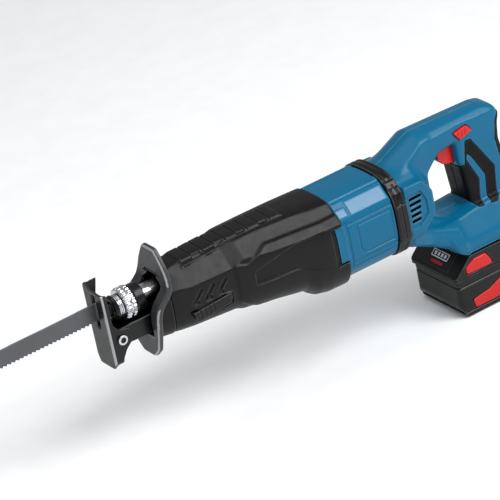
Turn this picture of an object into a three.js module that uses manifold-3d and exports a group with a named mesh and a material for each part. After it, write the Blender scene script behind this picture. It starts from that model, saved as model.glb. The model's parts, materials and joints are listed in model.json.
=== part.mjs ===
// Cordless reciprocating saw, built as an assembly of separate solids.
// Millimetres. x runs rearwards from the face of the shoe, y is 0 on the middle plane with the tool's left
// side at -y, and z runs up from the plunger axis. The outer group moves all of it into the library frame,
// whose origin is the middle of the battery's underside.
import * as THREE from 'three';
import { mergeVertices } from 'three/addons/utils/BufferGeometryUtils.js';
import Module from 'manifold-3d';

const wasm = await Module();
wasm.setup();

// ---- driving dimensions -------------------------------------------------------------------------
const GAP = 0.3;                 // air between pieces that touch on the real saw
const WALL = 3;                  // plastic and rubber wall
const PLUNGER_R = 9;
const BODY_R = 42.5;             // motor housing
const BODY_Z = -27;
const MODULE = 0.9;              // gear tooth module
const PINION_TEETH = 8;
const GEAR_TEETH = 41;
const MOTOR_Z = -20;
const SHAFT_Z = MOTOR_Z - MODULE * (PINION_TEETH + GEAR_TEETH) / 2;
const WOBBLE_X = 212;            // centre of the wobble hub
const REST_TO_MID_STROKE = 11;   // the plunger rests this far ahead of mid-stroke
const BOOT_END = 245;
const RING = [303, 316];         // rubber ring between the motor housing and the rear shells
const BATTERY = { front: 357, rear: 475, base: -161, split: -121, top: -98.6 };
const FOOT_Z = -98;              // underside of the foot
const PIVOT = [11.8, -24.9];     // shoe pivot

// ---- solids from three.js geometry --------------------------------------------------------------
function solid(geometry) {
  geometry.deleteAttribute('normal');
  geometry.deleteAttribute('uv');
  const merged = mergeVertices(geometry, 1e-4);
  const vertProperties = merged.attributes.position.array;
  const triVerts = Uint32Array.from(merged.index.array);
  return new wasm.Manifold(new wasm.Mesh({ numProp: 3, vertProperties, triVerts }));
}

const join = (...shapes) => shapes.reduce((all, shape) => all.add(shape));
const cut = (body, ...tools) => tools.reduce((left, tool) => left.subtract(tool), body);

function block([x0, x1], [y0, y1], [z0, z1]) {
  const geometry = new THREE.BoxGeometry(x1 - x0, y1 - y0, z1 - z0);
  return solid(geometry.translate((x0 + x1) / 2, (y0 + y1) / 2, (z0 + z1) / 2));
}

// A cylinder along one axis: the centre's two other coordinates follow the axis order x, y, z.
function rod(axis, [from, to], radius, [a, b], sides = 16) {
  const geometry = new THREE.CylinderGeometry(radius, radius, to - from, sides);
  const middle = (from + to) / 2;
  if (axis === 'x') geometry.rotateZ(-Math.PI / 2).translate(middle, a, b);
  if (axis === 'y') geometry.translate(a, middle, b);
  if (axis === 'z') geometry.rotateX(Math.PI / 2).translate(a, b, middle);
  return solid(geometry);
}

function tube(axis, span, outer, inner, centre, sides = 20) {
  const bore = [span[0] - 1, span[1] + 1];
  return rod(axis, span, outer, centre, sides).subtract(rod(axis, bore, inner, centre, sides));
}

// A turned piece on an axis along x at height z, from [x, radius] points.
function turned(profile, z, sides = 20) {
  const points = profile.map(([x, radius]) => new THREE.Vector2(radius, x));
  return solid(new THREE.LatheGeometry(points, sides).rotateZ(-Math.PI / 2).translate(0, 0, z));
}

function stepTowards([x, y], [u, v], distance) {
  const length = Math.hypot(u - x, v - y);
  const part = Math.min(distance / length, 0.45);
  return [x + (u - x) * part, y + (v - y) * part];
}

function outline(points, radius = 0) {
  const shape = new THREE.Shape();
  points.forEach((corner, i) => {
    const enter = stepTowards(corner, points.at(i - 1), radius);
    const leave = stepTowards(corner, points[(i + 1) % points.length], radius);
    if (i === 0) shape.moveTo(...enter);
    else shape.lineTo(...enter);
    if (radius > 0) shape.quadraticCurveTo(...corner, ...leave);
  });
  shape.closePath();
  return shape;
}

// Twice the area that an outline encloses: positive when its points run anticlockwise.
function turnSum(points) {
  return points.reduce((sum, [x, y], i) => {
    const [u, v] = points[(i + 1) % points.length];
    return sum + x * v - u * y;
  }, 0);
}

// ExtrudeGeometry needs a hole's points to run anticlockwise.
function extruded(points, depth, radius, hole) {
  const shape = outline(points, radius);
  if (hole) shape.holes.push(outline(turnSum(hole) > 0 ? hole : [...hole].reverse(), radius));
  return new THREE.ExtrudeGeometry(shape, { depth, bevelEnabled: false, curveSegments: 2, steps: 1 });
}

// Prisms: an x-z outline along y, an x-y outline along z, and a y-z outline along x.
function sidePrism(points, [y0, y1], radius = 0, hole = null) {
  return solid(extruded(points, y1 - y0, radius, hole).rotateX(Math.PI / 2).translate(0, y1, 0));
}

function planPrism(points, [z0, z1], radius = 0) {
  return solid(extruded(points, z1 - z0, radius).translate(0, 0, z0));
}

function sectionPrism(points, [x0, x1], radius = 0, hole = null) {
  const turn = new THREE.Matrix4().makeBasis(
    new THREE.Vector3(0, 1, 0), new THREE.Vector3(0, 0, 1), new THREE.Vector3(1, 0, 0));
  return solid(extruded(points, x1 - x0, radius, hole).applyMatrix4(turn).translate(x0, 0, 0));
}

// A body along x through superellipse sections { x, half, top, bottom }; power 2 is an ellipse.
function loft(sections, power = 2.5, inset = 0, sides = 20) {
  const geometry = new THREE.CylinderGeometry(1, 1, sections.length - 1, sides, sections.length - 1);
  geometry.rotateZ(-Math.PI / 2).translate((sections.length - 1) / 2, 0, 0);
  const position = geometry.attributes.position;
  const bend = (value) => Math.sign(value) * Math.abs(value) ** (2 / power);
  for (let i = 0; i < position.count; i += 1) {
    const section = sections[Math.round(position.getX(i))];
    const rise = (section.top - section.bottom) / 2 - inset;
    const middle = (section.top + section.bottom) / 2;
    position.setXYZ(i, section.x, (section.half - inset) * bend(position.getY(i)),
      middle + rise * bend(position.getZ(i)));
  }
  return solid(geometry);
}

// Moves every edge of an x-z outline inwards (or outwards, if negative).
function inset(points, distance) {
  const side = Math.sign(turnSum(points)) * distance;
  const edges = points.map(([x, y], i) => {
    const [u, v] = points[(i + 1) % points.length];
    const length = Math.hypot(u - x, v - y);
    const along = [(u - x) / length, (v - y) / length];
    return { at: [x - along[1] * side, y + along[0] * side], along };
  });
  return edges.map((edge, i) => {
    const last = edges.at(i - 1);
    const cross = last.along[0] * edge.along[1] - last.along[1] * edge.along[0];
    const step = [edge.at[0] - last.at[0], edge.at[1] - last.at[1]];
    const reach = (step[0] * edge.along[1] - step[1] * edge.along[0]) / cross;
    return [last.at[0] + last.along[0] * reach, last.at[1] + last.along[1] * reach];
  });
}

// ---- finishes -----------------------------------------------------------------------------------
const finish = (color, roughness, metalness = 0) => ({ color, roughness, metalness });
const BLACK_RUBBER = finish(0x17181a, 0.7);
const GREY_RUBBER = finish(0x3a3b3d, 0.6);
const BLACK_PLASTIC = finish(0x101113, 0.45);
const BLUE_PLASTIC = finish(0x1f78ad, 0.35);
const RED_PLASTIC = finish(0xd8272c, 0.4);
const DARK_STEEL = finish(0x1a1b1d, 0.4, 0.6);
const BRIGHT_STEEL = finish(0xc9ccd0, 0.22, 1);
const BLADE_STEEL = finish(0x4d4f52, 0.5, 0.8);
const ALUMINIUM = finish(0xa8abae, 0.5, 1);
const BRONZE = finish(0xb08d57, 0.4, 1);
const COPPER = finish(0xb8703c, 0.4, 1);
const BOARD = finish(0x1d5a34, 0.6);
const CELL_WRAP = finish(0x3c8f5a, 0.5);

const saw = new THREE.Group();
saw.position.set(-(BATTERY.front + BATTERY.rear) / 2, 0, -BATTERY.base);

function add(name, shape, look) {
  const { vertProperties, triVerts } = shape.getMesh();
  const geometry = new THREE.BufferGeometry();
  geometry.setAttribute('position', new THREE.BufferAttribute(vertProperties, 3));
  geometry.setIndex(new THREE.BufferAttribute(triVerts, 1));
  geometry.computeVertexNormals();
  const mesh = new THREE.Mesh(geometry, new THREE.MeshStandardMaterial(look));
  mesh.name = name;
  saw.add(mesh);
}

// ---- blade and its clamp ------------------------------------------------------------------------
function addBlade() {
  const tip = -150;
  const shoulder = 13;
  const [back, teeth] = [12.5, -6.5];
  const pitch = 4.4;
  const depth = 1.9;
  const edge = [];
  for (let x = tip + 5; x < shoulder - pitch; x += pitch) {
    edge.push([x, teeth + depth], [x + pitch * 0.8, teeth]);
  }
  const profile = [[tip, teeth + 2], ...edge, [shoulder, teeth + depth], [shoulder, -5], [33, -5], [33, 5],
    [shoulder, 5], [shoulder - 6, back], [tip + 14, back - 1], [tip, teeth + 9]];
  add('blade', sidePrism(profile, [-0.65, 0.65]), BLADE_STEEL);
}

function addPlunger() {
  const rear = 210.5;
  const socketX = WOBBLE_X - REST_TO_MID_STROKE;
  const bladeSlot = block([10, 36], [-0.95, 0.95], [-5.4, 5.4]);
  const socket = block([socketX - 5.8, socketX + 5.8], [-5.4, 5.4], [-10, 6.2]);
  const pinHole = rod('y', [-10, 0], 2.4, [30.5, 0], 10);
  add('plunger', cut(rod('x', [18, rear], PLUNGER_R, [0, 0], 24), bladeSlot, socket, pinHole), BRIGHT_STEEL);
  add('lock_pin', rod('y', [-8.9, -0.95], 2, [30.5, 0], 10), BRIGHT_STEEL);
}

function addBladeClamp() {
  const bore = PLUNGER_R + GAP;
  const nose = turned(
    [[15, 7.5], [15, 11], [18.4, 12.4], [18.4, bore], [17.7, bore], [17.7, 7.5], [15, 7.5]], 0);
  add('clamp_nose', cut(nose, block([14, 19], [-1.2, 1.2], [-8, 8])), BLACK_PLASTIC);
  add('clamp_spring', tube('x', [18.7, 24.2], 11.4, bore, [0, 0]), BRIGHT_STEEL);
  const ribs = 28;
  const knurl = [];
  for (let i = 0; i < ribs; i += 1) {
    const angle = (i / ribs) * 2 * Math.PI;
    const radius = i % 2 ? 15.2 : 14.5;
    knurl.push([radius * Math.cos(angle), radius * Math.sin(angle)]);
  }
  const camGroove = rod('x', [27, 34], 11.2, [0, 0], 20);
  const collarBore = rod('x', [20, 40], bore, [0, 0], 20);
  add('clamp_collar', cut(sectionPrism(knurl, [24.5, 36]), camGroove, collarBore), BRIGHT_STEEL);
  const sleeve = [[36.3, bore], [36.3, 14], [45, 14], [46.5, 12.8], [46.5, bore], [36.3, bore]];
  add('clamp_sleeve', turned(sleeve, 0), BLACK_PLASTIC);
}

// ---- shoe ---------------------------------------------------------------------------------------
function addShoe() {
  const sheet = 2.2;
  const half = 15.5;
  const face = [[-half, 24], [-half, -46], [-11, -53], [12, -53], [half, -44], [half, 27],
    [12, 31], [4, 26]];
  const bladeSlot = [[-3, 21], [-3, -13], [3, -13], [3, 21]];
  const plate = sectionPrism(face, [0, sheet], 1.5, bladeSlot);
  const flangeLine = [[0, 22], [6, 24], [6, -8], [11, -15], [22, -17], [23, -30], [15, -37], [10, -45],
    [10, -51], [1, -51], [0, -46]];
  const nearFlange = sidePrism(flangeLine, [-half, -half + sheet], 1.5);
  const farLine = flangeLine.map(([x, z]) => (z > 20 ? [x + 9 * Math.sign(x), z + 6] : [x, z]));
  const farFlange = sidePrism(farLine, [half - sheet, half], 1.5);
  const boltHole = rod('y', [-20, 20], 3.3, PIVOT);
  add('shoe_plate', cut(join(plate, nearFlange, farFlange), boltHole), DARK_STEEL);

  const [px, pz] = PIVOT;
  const wallLine = [[px - 8.4, pz + 4], [px - 4, pz + 8.4], [30, -15.5], [118, -15.5], [118, -34], [30, -34],
    [px - 3, pz - 8.4], [px - 8.4, pz - 4]];
  const outer = sidePrism(wallLine, [-12.9, 12.9], 1);
  const channel = block([0, 130], [-10.4, 10.4], [-31.5, 0]);
  const wallHole = rod('y', [-20, 20], 3.3, PIVOT);
  add('shoe_bracket', cut(outer, channel, wallHole), DARK_STEEL);
  const bolt = rod('y', [-17, 17], 3, PIVOT);
  const head = rod('y', [-18.6, -15.8], 5.3, PIVOT);
  const nut = rod('y', [15.8, 18.6], 5, PIVOT, 6);
  add('shoe_pivot_bolt', join(bolt, head, nut), BRIGHT_STEEL);
}

function addShoeLever() {
  const line = [[80, -24], [122, -21], [122, -31], [84, -35]];
  add('shoe_lever', sidePrism(line, [-33.2, -29.6], 1.5), BLACK_PLASTIC);
}

// ---- front end ----------------------------------------------------------------------------------
const BOOT_SECTIONS = [
  { x: 64, half: 31, top: 18, bottom: -46 },
  { x: 84, half: 32, top: 18, bottom: -49 },
  { x: 130, half: 34, top: 18, bottom: -52 },
  { x: 165, half: 39, top: 18, bottom: -54 },
  { x: 200, half: 42, top: 18, bottom: -60 },
  { x: 216, half: 44, top: 18, bottom: -71 },
  { x: BOOT_END, half: 45, top: 18, bottom: -72 },
];

function bootCore(margin, from, to) {
  return loft(BOOT_SECTIONS, 2.5, margin).intersect(block([from, to], [-60, 60], [-90, 30]));
}

function leverPocket(extra) {
  const line = inset([[78, -22], [124, -19], [124, -33], [82, -37]], -extra);
  return sidePrism(line, [-60, -27.5]);
}

function addBoot() {
  const sections = BOOT_SECTIONS.map((section) => ({ ...section }));
  const hollow = loft(sections, 2.5, WALL);
  const ends = join(hollow, loft([{ ...sections[0], x: 50 }, sections[0]], 2.5, WALL),
    loft([sections.at(-1), { ...sections.at(-1), x: 260 }], 2.5, WALL));
  const pads = [];
  for (let i = 0; i < 7; i += 1) {
    const x = 88 + i * 15.5;
    pads.push(block([x, x + 13.5], [-11, 11], [10, 19.2]));
  }
  const body = join(loft(sections), ...pads);
  add('rubber_boot', cut(body, ends, leverPocket(0)), BLACK_RUBBER);
}

// The hand guard's outline from the front, and the S that it follows in side view.
const GUARD_HALF = [[10, 42], [15, 35], [21, 25.5], [26, 14], [29.5, 1], [29.5, -12], [28, -24], [24, -38],
  [19, -52], [9, -61]];
const GUARD_SIDE = [[43.7, -63], [43.7, -18], [47, -9], [57, 1], [58.5, 8], [60.5, 18], [62.5, 44], [69, 44],
  [68.5, 17.5], [63.4, 16], [63.4, 4], [54, -8], [49.3, -18], [49.3, -63]];
const GUARD_HOLE = [[-16.5, 17], [-16.5, -38], [16.5, -38], [16.5, 17]];

function addGuard() {
  const mirrored = GUARD_HALF.map(([y, z]) => [-y, z]).reverse();
  const side = sidePrism(GUARD_SIDE, [-40, 40]);
  const flange = sectionPrism([...mirrored, ...GUARD_HALF], [30, 80], 3).intersect(side);
  const neck = loft(
    [{ x: 47, half: 23, top: 2, bottom: -43 }, { x: 63.4, half: 28, top: 9, bottom: -44 }], 2.5);
  const hole = sectionPrism(GUARD_HOLE, [30, 80], 4);
  add('hand_guard', cut(join(flange, neck), hole, bootCore(-GAP, 63.7, 90)), GREY_RUBBER);
}

function addGearHousing() {
  const skin = WALL + GAP;
  const outside = bootCore(skin, 76, BOOT_END - 0.2);
  const cavity = join(bootCore(skin + 3, 130, 234), bootCore(skin + 3, 232, 250));
  const nosePlunger = rod('x', [70, 140], 12.6, [0, 0], 24);
  const bracketWay = block([70, 140], [-13.4, 13.4], [-34.6, -13.8]);
  const rearCollarRoom = rod('x', [70, 90], 15.5, [0, 0], 24);
  const rearBushWall = block([176, 186], [-50, 50], [-90, 30]).intersect(outside);
  const bearingWall = block([194, 200.5], [-50, 50], [-90, -30]).intersect(outside);
  const bores = join(rod('x', [170, 190], 12.6, [0, 0], 24), rod('x', [190, 205], 7.6, [0, SHAFT_Z], 20));
  const shell = join(cut(outside, cavity), rearBushWall, bearingWall);
  const rooms = [nosePlunger, bracketWay, rearCollarRoom, bores, leverPocket(GAP)];
  add('gear_housing', cut(shell, ...rooms), ALUMINIUM);
  add('plunger_seal', tube('x', [91, 95], 12.3, PLUNGER_R + GAP, [0, 0], 24), BLACK_RUBBER);
  add('front_bush', tube('x', [96, 124], 12.3, PLUNGER_R + GAP, [0, 0], 24), BRONZE);
  add('rear_bush', tube('x', [174, 188], 12.3, PLUNGER_R + GAP, [0, 0], 24), BRONZE);
  add('shaft_bearing_front', tube('x', [194.5, 200], 7.3, 5 + GAP, [0, SHAFT_Z]), BRIGHT_STEEL);
}

// ---- wobble drive -------------------------------------------------------------------------------
function gearOutline(teeth, topHalf, footHalf) {
  const pitchRadius = MODULE * teeth / 2;
  const points = [];
  for (let i = 0; i < teeth; i += 1) {
    const middle = (i / teeth) * 2 * Math.PI;
    const place = (radius, arc) => {
      const angle = middle + arc / radius;
      points.push([radius * Math.sin(angle), radius * Math.cos(angle)]);
    };
    place(pitchRadius - 1.25 * MODULE, -footHalf);
    place(pitchRadius + 0.8 * MODULE, -topHalf);
    place(pitchRadius + 0.8 * MODULE, topHalf);
    place(pitchRadius - 1.25 * MODULE, footHalf);
  }
  return points;
}

function addWobbleDrive() {
  const hubBall = new THREE.SphereGeometry(8, 14, 10).rotateZ(-Math.PI / 2);
  const hub = solid(hubBall.translate(WOBBLE_X, 0, SHAFT_Z));
  const shaft = join(rod('x', [193, 240.5], 5, [0, SHAFT_Z]), hub);
  add('wobble_shaft', shaft, BRIGHT_STEEL);

  const wheelLine = gearOutline(GEAR_TEETH, 0.35, 0.85).map(([y, z]) => [y, z + SHAFT_Z]);
  const wheel = sectionPrism(wheelLine, [226.5, 233.5]);
  add('wobble_gear', cut(wheel, rod('x', [220, 240], 5 + GAP, [0, SHAFT_Z])), BRIGHT_STEEL);

  const tilt = -Math.asin(REST_TO_MID_STROKE / -SHAFT_Z);
  const reach = -SHAFT_Z;
  const pose = (geometry) => geometry.rotateY(tilt).translate(WOBBLE_X, 0, SHAFT_Z);
  const ringLine = [[8.5, -4.5], [11.8, -4.5], [11.8, 4.5], [8.5, 4.5], [8.5, -4.5]];
  const ringProfile = ringLine.map(([radius, height]) => new THREE.Vector2(radius, height));
  const ring = solid(pose(new THREE.LatheGeometry(ringProfile, 24).rotateZ(-Math.PI / 2)));
  const neckLength = reach - 10.5;
  const neck = new THREE.CylinderGeometry(2.6, 3.2, neckLength, 12).rotateX(Math.PI / 2);
  const finger = solid(pose(neck.translate(0, 0, 10.5 + neckLength / 2)));
  const ball = solid(pose(new THREE.SphereGeometry(4.9, 14, 10).translate(0, 0, reach)));
  add('wobble_plate', join(ring, finger, ball), BRIGHT_STEEL);
}

// ---- motor --------------------------------------------------------------------------------------
function addMotor() {
  const centre = [0, MOTOR_Z];
  const plateSections = [{ ...BOOT_SECTIONS.at(-1), x: 236.5 }, { ...BOOT_SECTIONS.at(-1), x: 244.5 }];
  const plate = loft(plateSections, 2.5, WALL + 3 + 2 * GAP + 0.4);
  const plateBores = join(rod('x', [230, 250], 8.3, centre), rod('x', [230, 241], 7.6, [0, SHAFT_Z]));
  add('motor_end_plate', cut(plate, plateBores), ALUMINIUM);
  add('shaft_bearing_rear', tube('x', [236.5, 240.8], 7.3, 5 + GAP, [0, SHAFT_Z]), BRIGHT_STEEL);
  add('motor_bearing_front', tube('x', [237, 244], 8, 3 + GAP, centre), BRIGHT_STEEL);
  const canBody = rod('x', [256, 312], 26, centre, 24);
  const canRoom = rod('x', [250, 308], 23, centre, 24);
  const brushGaps = block([297, 307], [-4.6, 4.6], [MOTOR_Z - 40, MOTOR_Z + 40]);
  add('motor_can', cut(canBody, canRoom, rod('x', [300, 320], 8.3, centre), brushGaps), DARK_STEEL);
  add('motor_bearing_rear', tube('x', [308.5, 312], 8, 3 + GAP, centre), BRIGHT_STEEL);
  add('brush_upper', block([298, 306], [-4, 4], [MOTOR_Z + 9.4, MOTOR_Z + 24]), DARK_STEEL);
  add('brush_lower', block([298, 306], [-4, 4], [MOTOR_Z - 24, MOTOR_Z - 9.4]), DARK_STEEL);

  const armatureLine = [
    [226, 0], [226, 3], [236, 3], [262, 3], [262, 19], [294, 19], [294, 9], [307, 9],
    [307, 3], [316, 3], [316, 0],
  ];
  const armature = turned(armatureLine, MOTOR_Z);
  const pinionFlat = rod('x', [220, 234.5], 4, centre).subtract(rod('x', [219, 235.5], 1.6, centre, 12));
  add('armature', cut(armature, pinionFlat), COPPER);
  const halfTooth = Math.PI / PINION_TEETH;
  const teeth = gearOutline(PINION_TEETH, 0.3, 0.75).map(([y, z]) => [
    y * Math.cos(halfTooth) - z * Math.sin(halfTooth),
    y * Math.sin(halfTooth) + z * Math.cos(halfTooth) + MOTOR_Z]);
  add('drive_pinion', cut(sectionPrism(teeth, [226, 234]), rod('x', [220, 236], 1.6 + GAP, centre, 12)),
    BRIGHT_STEEL);
  const blades = [];
  for (let i = 0; i < 9; i += 1) {
    const vane = new THREE.BoxGeometry(6, 1.4, 12).translate(251, 0, 17);
    blades.push(solid(vane.rotateX((i / 9) * 2 * Math.PI).translate(0, 0, MOTOR_Z)));
  }
  const disc = tube('x', [246.5, 249], 24, 3 + GAP, centre, 24);
  const hub = tube('x', [246.5, 254], 7, 3 + GAP, centre);
  add('cooling_fan', join(disc, hub, ...blades), BLACK_PLASTIC);
}

const HOUSING_SECTION = { half: BODY_R, top: BODY_Z + BODY_R, bottom: BODY_Z - BODY_R };

function addMotorHousing() {
  const sections = [{ ...HOUSING_SECTION, x: BOOT_END + GAP }, { ...HOUSING_SECTION, x: RING[0] - GAP }];
  const room = [{ ...HOUSING_SECTION, x: BOOT_END - 5 }, { ...HOUSING_SECTION, x: RING[0] + 5 }];
  const label = block([258, 299], [-41.5, -30], [-3, 8]).intersect(loft(sections, 2.2, -0.8));
  const panel = block([262, 296], [-46, -42], [-46, -14]);
  add('motor_housing', cut(join(loft(sections, 2.2), label), loft(room, 2.2, WALL), panel), BLUE_PLASTIC);

  const outer = {
    half: BODY_R + 1.8,
    top: HOUSING_SECTION.top + 1.5,
    bottom: HOUSING_SECTION.bottom - 1.5,
  };
  const band = loft([{ ...outer, x: RING[0] }, { ...outer, x: RING[1] }], 2.2);
  const holeSections = [RING[0] - 5, RING[1] + 5].map((x) => ({ ...HOUSING_SECTION, x }));
  const hole = loft(holeSections, 2.2, WALL);
  const sidePads = [-1, 1].map((side) => block([305, RING[1]], [side * 43 - 3, side * 43 + 3], [-48, -12]));
  add('housing_ring', cut(join(band, ...sidePads), hole), BLACK_RUBBER);
}

// ---- rear shells, grip and foot -----------------------------------------------------------------
const HANDLE_LINE = [[318, 14], [358, 33], [437, 31], [449, 27], [453.5, 17], [450, 8], [448, -8],
  [452, -27], [457, -45], [464, -60], [464, -76], [345, -76], [330, -66], [318, -60]];
const LOOP_LINE = [[378, 5], [398, 7], [398, -16], [400.5, -20], [404.5, -62], [374, -63], [358, -52],
  [359, -22], [361, -10]];
const SPINE_LINE = [[447, 12], [443, -6], [446, -28], [451, -46], [458, -62], [470, -62],
  [470, 20], [452, 20]];
const BUTTON_LINE = [[396, 19], [412, 21.5], [418, 14.5], [403, 9.5]];
const TRIGGER_LINE = [[380, 4.5], [379, -4.5], [387, -13.5], [396, -16], [409, -14], [409, 6.3]];
const PAD_LINE = [[403.5, -16], [409, 5], [415, 5], [437, -33], [434, -62], [408, -63], [404.5, -50]];
const SCREW_PLACES = [[369, 22], [436, 22], [341, -58], [455, -70]];

// The part of the rear shells that fits inside the ring, and the drum behind it.
const SPIGOT_R = BODY_R - WALL - GAP;
const SPIGOT = { half: SPIGOT_R, top: BODY_Z + SPIGOT_R, bottom: BODY_Z - SPIGOT_R };
const DRUM = [
  { ...SPIGOT, x: RING[0] + GAP },
  { ...SPIGOT, x: RING[1] + GAP },
  { x: RING[1] + 2 * GAP, half: 41.5, top: 13, bottom: -68 },
  { x: 338, half: 41, top: 11, bottom: -62 },
  { x: 350, half: 34, top: 4, bottom: -56 },
  { x: 357, half: 24, top: -4, bottom: -50 },
];
const STRUT = [
  { x: 322, half: 38, top: -40, bottom: -67 },
  { x: 345, half: 33, top: -54, bottom: -78 },
  { x: 376, half: 36, top: -64, bottom: FOOT_Z + 1 },
];
const FOOT_LINE = [[366, -66], [404, -62], [462, -60], [478, -74], [485, -88], [485, FOOT_Z], [379, FOOT_Z],
  [370, -92]];
const FOOT_SECTION = [[-37, FOOT_Z - 1], [37, FOOT_Z - 1], [37, -85], [22, -60], [-22, -60], [-37, -85]];

function rearBody() {
  const handle = sidePrism(HANDLE_LINE, [-19, 19], 4, LOOP_LINE);
  const gripNarrowing = [-1, 1].map((side) => block([392, 445], [side * 21 - 4, side * 21 + 4], [-66, 6]));
  const foot = sidePrism(FOOT_LINE, [-40, 40], 3).intersect(sectionPrism(FOOT_SECTION, [340, 500], 3));
  return join(cut(handle, ...gripNarrowing), loft(DRUM, 2.2), loft(STRUT, 4), foot);
}

function rearCavity() {
  const handleRoom = sidePrism(inset(HANDLE_LINE, WALL), [-16, 16], 3, inset(LOOP_LINE, -WALL));
  const gripWalls = [-1, 1].map((side) => block([392, 445], [side * 21 - 7, side * 21 + 7], [-66, 6]));
  const footRoom = block([382, 470], [-20, 20], [FOOT_Z + 14, -66]);
  const drumRoom = loft(DRUM, 2.2, WALL);
  const mouth = [{ ...DRUM[0], x: 295 }, { ...DRUM[0], x: 310 }];
  return join(cut(handleRoom, ...gripWalls), footRoom, drumRoom, loft(mouth, 2.2, WALL));
}

function railRoom() {
  const neck = block([330, 472], [-21.3, 21.3], [FOOT_Z - 1, -91]);
  const head = block([330, 472], [-27, 27], [-92.3, -86.9]);
  return join(neck, head);
}

function ventSlots(side) {
  const slots = [];
  for (let i = 0; i < 4; i += 1) {
    slots.push(block([321, 335], side < 0 ? [-50, -30] : [30, 50], [-14 - i * 7.2, -10.5 - i * 7.2]));
  }
  return join(...slots);
}

function addRearShells() {
  const spine = sidePrism(SPINE_LINE, [-13, 13], 3);
  const spineRoom = sidePrism(inset(SPINE_LINE, -GAP), [-13 - GAP, 13 + GAP], 3);
  const button = sidePrism(inset(BUTTON_LINE, -GAP), [-30, 30]);
  const trigger = sidePrism(inset(TRIGGER_LINE, -0.5), [-8.4, 8.4]);
  const triggerTravel = block([395, 417], [-8.4, 8.4], [-16.2, 6.8]);
  const screws = SCREW_PLACES.map((place) => rod('y', [-40, 50], 2.2, place, 12));
  const heads = SCREW_PLACES.map((place) => rod('y', [13.5, 60], 4, place, 12));
  const body = cut(rearBody(), rearCavity(), railRoom(), ventSlots(-1), ventSlots(1), spineRoom, button,
    trigger, triggerTravel, gripPad(-1, GAP), gripPad(1, GAP), ...screws, ...heads);
  const halfGap = GAP / 2;
  add('rear_shell_left', body.intersect(block([290, 500], [-60, -halfGap], [-120, 50])), BLUE_PLASTIC);
  add('rear_shell_right', body.intersect(block([290, 500], [halfGap, 60], [-120, 50])), BLUE_PLASTIC);
  const handleOutside = sidePrism(HANDLE_LINE, [-19, 19], 4);
  add('grip_spine', spine.intersect(handleOutside), BLACK_RUBBER);
}

function gripPad(side, extra = 0) {
  const [inner, outer] = [15.5 - extra, 18.5 + extra];
  const span = side < 0 ? [-outer, -inner] : [inner, outer];
  return sidePrism(extra > 0 ? inset(PAD_LINE, -extra) : PAD_LINE, span, 3);
}

function addGripParts() {
  add('grip_pad_left', gripPad(-1), BLACK_RUBBER);
  add('grip_pad_right', gripPad(1), BLACK_RUBBER);
  SCREW_PLACES.forEach(([x, z], i) => {
    const shank = rod('y', [2, 13.8], 1.8, [x, z], 10);
    const head = rod('y', [13.8, 16.5], 3.6, [x, z], 12);
    add(`shell_screw_${i + 1}`, join(shank, head), DARK_STEEL);
  });
  add('trigger', sidePrism(TRIGGER_LINE, [-7.9, 7.9], 2), RED_PLASTIC);
  add('lock_off_button', sidePrism(BUTTON_LINE, [-20.2, 18]), RED_PLASTIC);
}

function lead(points, radius) {
  const path = new THREE.CatmullRomCurve3(points.map(([x, y, z]) => new THREE.Vector3(x, y, z)));
  const ring = new THREE.Shape();
  ring.absarc(0, 0, radius, 0, 2 * Math.PI);
  const options = { steps: 12, curveSegments: 4, bevelEnabled: false, extrudePath: path };
  return solid(new THREE.ExtrudeGeometry(ring, options));
}

function addElectrics() {
  add('switch_module', block([418, 436], [-10, 10], [-16, 5]), BLACK_PLASTIC);
  add('controller_board', block([392, 458], [-16, 16], [-80, -77]), BOARD);
  add('terminal_block', block([400, 440], [-18, 18], [-83.6, -81]), BLACK_PLASTIC);
  const batteryPath = (y) => [[426, y, -17], [428, y, -35], [432, y, -55], [432, y, -76.6]];
  const motorPath = [[427, 0, 5.4], [427, 0, 14], [420, 0, 25], [396, 0, 26], [372, 0, 24], [345, 0, 12],
    [325, 0, 0], [313, 0, -4]];
  add('lead_red', lead(batteryPath(5), 1.5), RED_PLASTIC);
  add('lead_black', lead(batteryPath(-5), 1.5), BLACK_PLASTIC);
  add('motor_lead', lead(motorPath, 1.5), RED_PLASTIC);
}

// ---- battery ------------------------------------------------------------------------------------
const BASE_LINE = [[361, BATTERY.split - GAP], [473, BATTERY.split - GAP], [475, -150], [471, BATTERY.base],
  [366, BATTERY.base], [360, -148]];
const BASE_PLAN = [[357, -22], [362, -36], [475, -36], [475, 36], [362, 36], [357, 22]];
const TOP_LINE = [[358, BATTERY.split], [357, -118.6], [379, BATTERY.top], [475, BATTERY.top],
  [475, BATTERY.split]];
const TOP_PLAN = [[356, -26], [359, -37.5], [475, -37.5], [475, 37.5], [359, 37.5], [356, 26]];
const LATCH_LINE = [[372, -116], [400, -117], [403, -114], [397, -103], [383, -103], [372, -109]];
const LABEL_LINE = [[377, -154.5], [468, -154.5], [468, -135], [409, -136], [395, -142], [375, -145]];

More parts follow.
